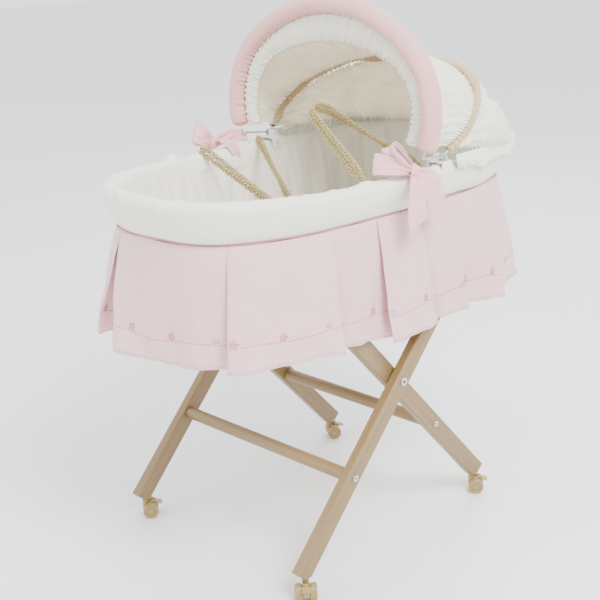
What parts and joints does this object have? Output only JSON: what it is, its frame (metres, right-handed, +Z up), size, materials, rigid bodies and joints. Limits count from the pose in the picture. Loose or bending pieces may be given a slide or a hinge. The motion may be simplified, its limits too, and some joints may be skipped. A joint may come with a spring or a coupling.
{
  "type": "moses basket on folding stand",
  "caption": "Moses basket with ivory lining, pink pleated skirt, bows and folding hood, on a folding beech X-stand with braked castors.",
  "frame": {"origin": "on the floor below the middle of the basket", "axes": "+X towards the head end under the hood, +Z up, +Y towards the far long side"},
  "size_m": [0.9124, 0.5238, 0.9957],
  "materials": {
    "beech": "satin",
    "beech_rail": "satin",
    "steel": "satin",
    "webbing": "matt",
    "castor_plastic": "satin",
    "maize": "matt",
    "ivory_cotton": "matt",
    "pink_cotton": "matt",
    "pink_padding": "matt",
    "rose_piping": "matt",
    "coverlet_cotton": "matt",
    "mattress_foam": "matt",
    "white_plastic": "gloss",
    "hood_cotton": "matt"
  },
  "bodies": {
    "outer_frame": {"outer_leg_near": "beech", "outer_leg_far": "beech", "outer_low_rail": "beech_rail", "outer_top_rail": "beech_rail", "outer_screws": "steel", "pivot_bolts": "steel", "pivot_nuts": "steel", "pivot_washers": "steel", "stop_straps": "webbing", "socket_outer_near": "castor_plastic", "stem_outer_near": "steel", "socket_outer_far": "castor_plastic", "stem_outer_far": "steel"},
    "inner_frame": {"inner_leg_near": "beech", "inner_leg_far": "beech", "inner_low_rail": "beech_rail", "inner_top_rail": "beech_rail", "inner_screws": "steel", "socket_inner_near": "castor_plastic", "stem_inner_near": "steel", "socket_inner_far": "castor_plastic", "stem_inner_far": "steel"},
    "basket": {"basket_shell": "maize", "rim_band": "ivory_cotton", "lining": "ivory_cotton", "mattress": "mattress_foam", "coverlet": "coverlet_cotton", "piping": "rose_piping", "skirt": "pink_cotton", "bow_near": "pink_cotton", "bow_far": "pink_cotton", "hood_clip_near": "white_plastic", "hood_clip_far": "white_plastic", "hood_pin_near": "steel", "hood_pin_far": "steel", "hood_rear_panel": "hood_cotton"},
    "hood_mid": {"hood_mid_bow": "steel", "hood_mid_casing": "hood_cotton", "hood_front_panel": "hood_cotton"},
    "hood_front": {"hood_front_bow": "steel", "hood_arch_pad": "pink_padding", "hood_ruffle": "hood_cotton"},
    "handle_near": {"handle_near": "maize"},
    "handle_far": {"handle_far": "maize"},
    "castor_outer_near": {"housing_outer_near": "castor_plastic"},
    "rollers_outer_near": {"wheels_outer_near": "castor_plastic", "axle_outer_near": "steel"},
    "pedal_outer_near": {"brake_outer_near": "castor_plastic"},
    "castor_outer_far": {"housing_outer_far": "castor_plastic"},
    "rollers_outer_far": {"wheels_outer_far": "castor_plastic", "axle_outer_far": "steel"},
    "pedal_outer_far": {"brake_outer_far": "castor_plastic"},
    "castor_inner_near": {"housing_inner_near": "castor_plastic"},
    "rollers_inner_near": {"wheels_inner_near": "castor_plastic", "axle_inner_near": "steel"},
    "pedal_inner_near": {"brake_inner_near": "castor_plastic"},
    "castor_inner_far": {"housing_inner_far": "castor_plastic"},
    "rollers_inner_far": {"wheels_inner_far": "castor_plastic", "axle_inner_far": "steel"},
    "pedal_inner_far": {"brake_inner_far": "castor_plastic"}
  },
  "joints": [
    {"name": "stand_fold", "type": "hinge", "parent": "outer_frame", "child": "inner_frame", "pos_m": [-0.038, 0, 0.326], "axis": [0, 1, 0], "range_deg": [0, 72], "deforming": ["stop_straps"]},
    {"name": "basket_lift", "type": "slide", "parent": "outer_frame", "child": "basket", "axis": [0, 0, 1], "range_m": [0, 0.19]},
    {"name": "hood_mid_fold", "type": "hinge", "parent": "basket", "child": "hood_mid", "pos_m": [0.086, 0, 0.7142], "axis": [0, 1, 0], "range_deg": [0, 30], "deforming": ["hood_rear_panel"]},
    {"name": "hood_front_fold", "type": "hinge", "parent": "hood_mid", "child": "hood_front", "pos_m": [0.086, 0, 0.7142], "axis": [0, 1, 0], "range_deg": [0, 50], "deforming": ["hood_front_panel"]},
    {"name": "handle_near_swing", "type": "hinge", "parent": "basket", "child": "handle_near", "pos_m": [-0.036, -0.197, 0.7082], "axis": [1, 0, 0], "range_deg": [-58, 20]},
    {"name": "handle_far_swing", "type": "hinge", "parent": "basket", "child": "handle_far", "pos_m": [-0.036, 0.197, 0.7082], "axis": [-1, 0, 0], "range_deg": [0, 87.5]},
    {"name": "swivel_outer_near", "type": "hinge", "parent": "outer_frame", "child": "castor_outer_near", "pos_m": [-0.293, -0.222, 0.039], "axis": [0, 0, 1], "continuous": true},
    {"name": "roll_outer_near", "type": "hinge", "parent": "castor_outer_near", "child": "rollers_outer_near", "pos_m": [-0.29969, -0.22943, 0.015], "axis": [0.7431, -0.6691, 0], "continuous": true},
    {"name": "brake_press_outer_near", "type": "hinge", "parent": "castor_outer_near", "child": "pedal_outer_near", "pos_m": [-0.30304, -0.23315, 0.03], "axis": [0.7431, -0.6691, 0], "range_deg": [0, 10]},
    {"name": "swivel_outer_far", "type": "hinge", "parent": "outer_frame", "child": "castor_outer_far", "pos_m": [-0.293, 0.222, 0.039], "axis": [0, 0, 1], "continuous": true},
    {"name": "roll_outer_far", "type": "hinge", "parent": "castor_outer_far", "child": "rollers_outer_far", "pos_m": [-0.28512, 0.21584, 0.015], "axis": [0.6157, 0.788, 0], "continuous": true},
    {"name": "brake_press_outer_far", "type": "hinge", "parent": "castor_outer_far", "child": "pedal_outer_far", "pos_m": [-0.28118, 0.21277, 0.03], "axis": [0.6157, 0.788, 0], "range_deg": [0, 10]},
    {"name": "swivel_inner_near", "type": "hinge", "parent": "inner_frame", "child": "castor_inner_near", "pos_m": [0.217, -0.199, 0.039], "axis": [0, 0, 1], "continuous": true},
    {"name": "roll_inner_near", "type": "hinge", "parent": "castor_inner_near", "child": "rollers_inner_near", "pos_m": [0.22316, -0.20688, 0.015], "axis": [0.788, 0.6157, 0], "continuous": true},
    {"name": "brake_press_inner_near", "type": "hinge", "parent": "castor_inner_near", "child": "pedal_inner_near", "pos_m": [0.22623, -0.21082, 0.03], "axis": [0.788, 0.6157, 0], "range_deg": [0, 10]},
    {"name": "swivel_inner_far", "type": "hinge", "parent": "inner_frame", "child": "castor_inner_far", "pos_m": [0.217, 0.199, 0.039], "axis": [0, 0, 1], "continuous": true},
    {"name": "roll_inner_far", "type": "hinge", "parent": "castor_inner_far", "child": "rollers_inner_far", "pos_m": [0.22519, 0.19326, 0.015], "axis": [0.5736, 0.8192, 0], "continuous": true},
    {"name": "brake_press_inner_far", "type": "hinge", "parent": "castor_inner_far", "child": "pedal_inner_far", "pos_m": [0.22929, 0.1904, 0.03], "axis": [0.5736, 0.8192, 0], "range_deg": [0, 10]}
  ],
  "couplings": [
    {"joint": "basket_lift", "follows": "stand_fold", "m_per_rad": 0.15},
    {"joint": "hood_front_fold", "follows": "hood_mid_fold", "ratio": 1.65}
  ]
}
